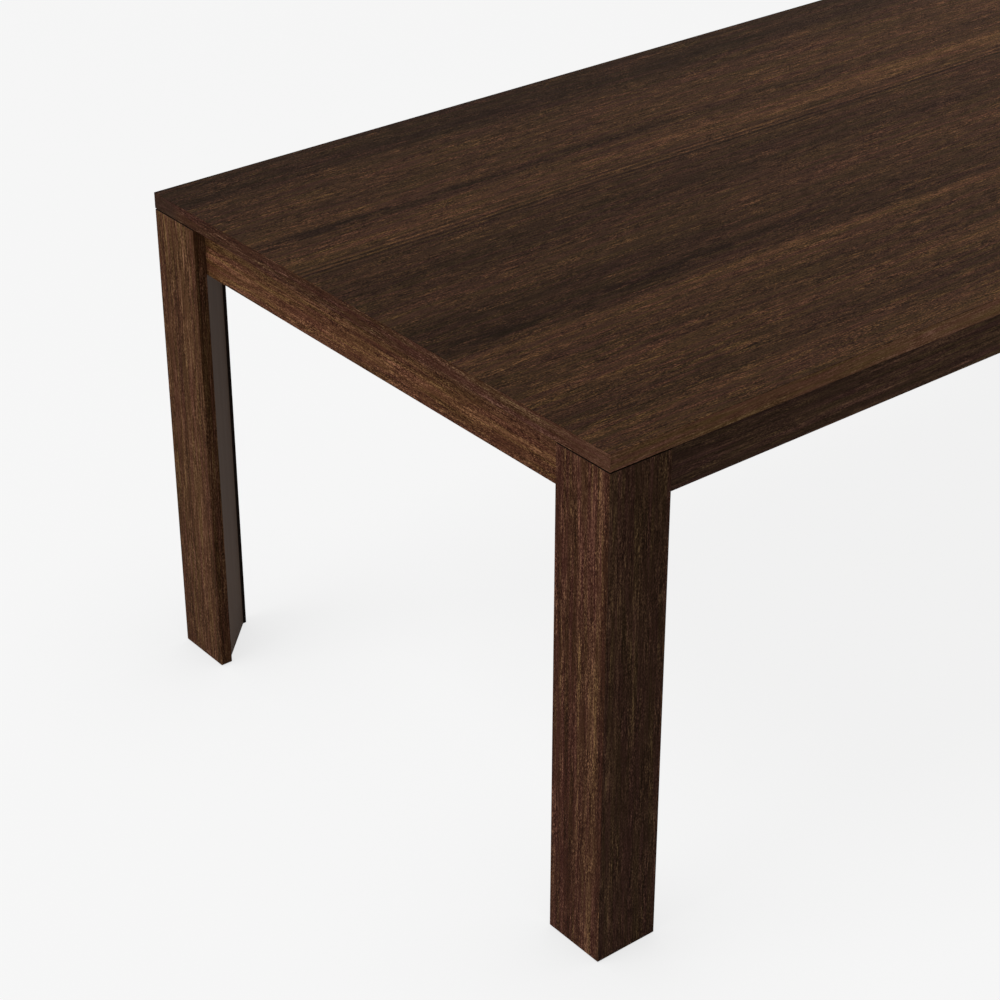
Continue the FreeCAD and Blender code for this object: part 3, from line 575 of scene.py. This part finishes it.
# Core: a board of pressed wood chips, sawn to size, which carries the veneers and the lippings.
# It is bare, and hidden on every side once the top is glued up.
chips = Finish("core_chips", 21, {"Specular IOR Level": 0.15})
chip = chips.place.node("ShaderNodeTexVoronoi", {"feature": "F1"}, {"Vector": chips.place, "Scale": 260.0}, 1)
grit = chips.cloud((600.0, 600.0, 600.0), 1, 2.0)
chip = chip.node("ShaderNodeRGBToBW", {}, {0: chip})
chips.feed("Base Color", chips.colour(chip * 0.6 + grit * 0.8 + 0.2, [
    (0.0, (0.19, 0.115, 0.060)), (0.5, (0.36, 0.25, 0.15)), (1.0, (0.52, 0.39, 0.25))]))
chips.feed("Roughness", grit * 0.3 + 0.75)
chips.relief(chip * 0.6 + grit + 0.3, 0.0003, 0.4)
chips.dress("top_core")

# Backing veneer: a plain walnut sheet pressed on the core's underside, so that the top stays flat.
# It is sealed but not stained, so it stays a mid brown.
backing = Timber("backing_veneer", "X", 10, {"Specular IOR Level": 0.12})
shade = backing.bands * 0.6 + backing.streaks * 0.6 + backing.threads * 0.5 + backing.flecks * 0.6
backing.feed("Base Color", backing.colour(shade + backing.pores * 0.8 + 0.5, [
    (0.0, (0.085, 0.048, 0.027)), (0.4, (0.19, 0.112, 0.064)), (0.6, (0.24, 0.145, 0.085)),
    (1.0, (0.36, 0.235, 0.145))]))
backing.feed("Roughness", backing.flecks * -0.2 - backing.pores * 0.2 + 0.62)
backing.relief(backing.flecks * 0.6 + backing.pores * 0.8 + 0.5, 0.0002, 0.4)
backing.dress("top_backing_veneer")

# Lippings: 3 mm strips of solid walnut, mitred at the corners and glued round the core, with the grain
# along the edge. They stop a millimetre above the underside, which leaves a dark line over the legs.
end_lippings = Walnut("walnut_end_lipping", "Y", 7)
y = end_lippings.place.split()[1]
plain = abs(y).ramp(0.43, 0.445)
blackened = y.ramp(0.42, 0.455) * 0.55
pale = 0.07 - y.ramp(-0.465, -0.445) * 0.07
darker = y.ramp(-0.3, 0.0) * 0.06 + y.ramp(0.08, 0.26) * (1 - y.ramp(0.36, 0.43)) * 0.09
end_lippings.stain(plain * 0.02 - y.ramp(-0.5, 0.5) * 0.06 - darker + blackened * 0.25 + pale + 0.475, [
    (0.0, (0.015, 0.0058, 0.0032)), (0.3, (0.0385, 0.0140, 0.0068)), (0.5, (0.0525, 0.0216, 0.0116)),
    (0.7, (0.087, 0.0415, 0.0237)), (1.0, (0.19, 0.102, 0.058))],
    bands=0.3, streaks=0.3, threads=0.35, fine=1.15 - plain * 0.5, black_share=blackened)
end_lippings.dress("top_left_end_lipping", "top_right_end_lipping")
side_lippings = Walnut("walnut_side_lipping", "X", 8)
x = side_lippings.place.split()[0]
side_lippings.stain(x.ramp(-0.8, -0.38) * 0.2 + 0.37, [
    (0.0, (0.048, 0.0222, 0.0104)), (0.3, (0.091, 0.0430, 0.0208)), (0.5, (0.115, 0.0550, 0.0275)),
    (0.7, (0.154, 0.0775, 0.0415)), (1.0, (0.26, 0.145, 0.082))], bands=0.3, streaks=0.4)
side_lippings.dress("top_near_side_lipping", "top_far_side_lipping")

# Face veneer: three leaves of walnut, butted side by side along the length and pressed over core
# and lippings. Each leaf has its own streaks, with a row of fine lines along the first joint, and all
# three are stained together and finished in satin lacquer.
leaves = Walnut("walnut_face_leaves", "X", 9)
half_width = 0.496
across = half_width - leaves.place.split()[1]
second = across.ramp(0.3606, 0.3614)
third = across.ramp(0.6890, 0.6960)
x, y, z = leaves.bent.split()
drift = half_width - y
# Figure fades about the middle of the length; the same mask also paints a sheen there.
fade_and_sheen = x.stripe(0.25, 0.85)
wander = leaves.cloud((2.2, 0.0, 0.0), 8, 1.0)
broken = leaves.cloud((3.0, 40.0, 0.0), 9, 2.0).ramp(-0.12, 0.1)
blotches = leaves.cloud((14.0, 70.0, 0.0), 12, 3.0, 0.6).ramp(-0.1, 0.12) * 1.1 + 0.25
vein = (drift + wander * 0.02).stripe(0.257, 0.02) * (broken * 0.6 + 0.4) * blotches
line_rate, line_start = 616.0, 2.72
turns = (across + wander * 0.008) * line_rate - line_start
lines = turns.maths("SINE", turns) * across.stripe(0.362, 0.03) * (broken * 0.5 + 0.6)
first_leaf = (drift.stripe(0.316, 0.034) * (fade_and_sheen * 0.12 + 0.05) + across.stripe(0.301, 0.011) * 0.05
              - across.stripe(0.313, 0.009) * 0.06 - across.stripe(0.342, 0.01) * 0.1
              - drift.stripe(0.055, 0.06) * 0.25 - drift.stripe(0.122, 0.022) * 0.07
              - across.stripe(0.0, 0.035) * 0.2 - vein * (0.46 - x.ramp(-0.85, -0.55) * 0.24 - fade_and_sheen * 0.1))
dark_streaks = (drift.stripe(0.61, 0.05) * 0.14
                + (drift + x.ramp(-0.95, -0.3) * 0.014).stripe(0.664, 0.03) * blotches * 0.28)
second_leaf = (drift.stripe(0.42, 0.05) * x.stripe(0.25, 0.35) * 0.05 - drift.stripe(0.46, 0.05) * 0.06
               - across.stripe(0.370, 0.014) * (x.ramp(-0.6, -0.2) * 0.08 + 0.06)
               - across.stripe(0.513, 0.03) * 0.05
               - dark_streaks * (1.1 - x.ramp(-0.85, 0.1)) - 0.06)
third_leaf = (across.stripe(0.702, 0.016) * 0.17 - drift.stripe(0.762, 0.03) * 0.08
              + drift.stripe(0.835, 0.035) * 0.08 - drift.stripe(0.897, 0.035) * 0.08
              - across.stripe(0.923, 0.012) * 0.07 + across.stripe(0.946, 0.014) * 0.05)
figure = first_leaf * (1 - second) + second_leaf * second * (1 - third) + third_leaf * third
# The tone is raised a little about the middle of the length and more towards the right end, as a painted
# sheen.
leaves.stain(figure + lines * 0.26 + fade_and_sheen * 0.03 + x.ramp(-0.05, 0.25) * 0.02 + 0.43, [
    (0.0, (0.0085, 0.0040, 0.0020)), (0.3, (0.0207, 0.0099, 0.0053)), (0.5, (0.0377, 0.0184, 0.0097)),
    (0.7, (0.0640, 0.0288, 0.0127)), (1.0, (0.142, 0.067, 0.029))],
    bands=0.3, streaks=0.35, threads=0.35, fine=1.17)
leaves.dress("top_face_veneer")

# Top brackets and their screws: more of the same angle brackets, screwed to the aprons and up into
# the core. They hold the top down, four along each side and two at each end.
brackets.dress("top_brackets")
side_spots = (-130.0, -620.0)
top_screws = fitted("top_screws", screw_tree, all_corners(
    [((along, -456.0, 719.0), (0, 1, 0)) for along in side_spots]
    + [((along, -440.0, 735.0), (0, 0, -1)) for along in side_spots]
    + [((-950.0, -200.0, 719.0), (1, 0, 0)), ((-934.0, -200.0, 735.0), (0, 0, -1))]), zinc, {
        "Length": 0.016, **SCREW})
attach(top_screws, "table")
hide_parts("top_bracket_screws")

# Studio: a pale paper floor that keeps the table's soft shadow, one large soft lamp high on the left,
# a weak one over the right end, even light all round, and the camera above the near left corner.
reach = 40.0
floor_mesh = bpy.data.meshes.new("floor")
floor_mesh.from_pydata([(-reach, -reach, 0), (reach, -reach, 0), (reach, reach, 0), (-reach, reach, 0)],
                       [], [(0, 1, 2, 3)])
floor = bpy.data.objects.new("floor", floor_mesh)
bpy.context.scene.collection.objects.link(floor)


def seen(tree):
    """1 for the rays that show a thing itself or its image, and 0 for those that only light others."""
    rays = tree.nodes.new("ShaderNodeLightPath").outputs
    straight, mirrored, through = (
        Value(rays[f"Is {way} Ray"]) for way in ("Camera", "Glossy", "Transmission"))
    return straight.most(mirrored).most(through)


paper = bpy.data.materials.new("floor_paper")
paper.use_nodes = True
paper.node_tree.nodes.clear()
shown = seen(paper.node_tree)
paper_grey, paper_white, black = ((grey, grey, grey, 1.0) for grey in (0.72, 0.936, 0.0))
shade_reach, shade_depth, white_share = 0.35, 0.2, 0.93
matt = shown.node("ShaderNodeBsdfDiffuse", {}, {"Color": paper_grey})
hidden = 1 - shown.node("ShaderNodeAmbientOcclusion", {"samples": 8}, {"Distance": shade_reach}, 1)
shaded = shown.node("ShaderNodeMix", {"data_type": "RGBA"}, {
    0: hidden * shade_depth, 6: paper_white, 7: black}, 2)
white = shown.node("ShaderNodeEmission", {}, {"Color": shaded})
sheet = shown.node("ShaderNodeMixShader", {}, {0: shown * white_share, 1: matt, 2: white})
surface = paper.node_tree.nodes.new("ShaderNodeOutputMaterial").inputs["Surface"]
paper.node_tree.links.new(sheet.socket, surface)
floor_mesh.materials.append(paper)

studio = bpy.data.worlds.new("studio")
bpy.context.scene.world = studio
studio.use_nodes = True
studio.node_tree.nodes.clear()
shown = seen(studio.node_tree)
backdrop, fill = 0.922, 0.32
glow = shown.node("ShaderNodeBackground", {}, {
    "Color": (1.0, 1.0, 1.0, 1.0), "Strength": shown * (backdrop - fill) + fill})
surroundings = studio.node_tree.nodes.new("ShaderNodeOutputWorld").inputs["Surface"]
studio.node_tree.links.new(glow.socket, surroundings)


def hung_lamp(name, side, watts, place):
    """A square soft lamp at a place, which faces straight down until it is turned."""
    lamp = bpy.data.lights.new(name, "AREA")
    lamp.shape = "RECTANGLE"
    lamp.size = side
    lamp.size_y = side
    lamp.energy = watts
    hung = bpy.data.objects.new(name, lamp)
    hung.location = place
    bpy.context.scene.collection.objects.link(hung)
    return hung


soft_lamp = hung_lamp("soft_lamp", 5.0, 1190.0, (-6.44, 1.13, 10.06))
aim = Vector((-0.3, 0.0, 0.4)) - soft_lamp.location
soft_lamp.rotation_euler = aim.to_track_quat("-Z", "Y").to_euler()
near_lamp = hung_lamp("near_lamp", 1.2, 9.0, (1.1, 0.1, 2.05))
near_lamp.visible_camera = False

camera = bpy.data.cameras.new("camera")
camera.lens = 89.146
camera.sensor_width = 36.0
camera_object = bpy.data.objects.new("camera", camera)
camera_object.location = (-2.6607, -2.3688, 2.1517)
aim = Vector((0.54253, 0.67445, -0.50078))
camera_object.rotation_euler = aim.to_track_quat("-Z", "Y").to_euler()
bpy.context.scene.collection.objects.link(camera_object)
bpy.context.scene.camera = camera_object
bpy.context.scene.view_settings.view_transform = "Standard"
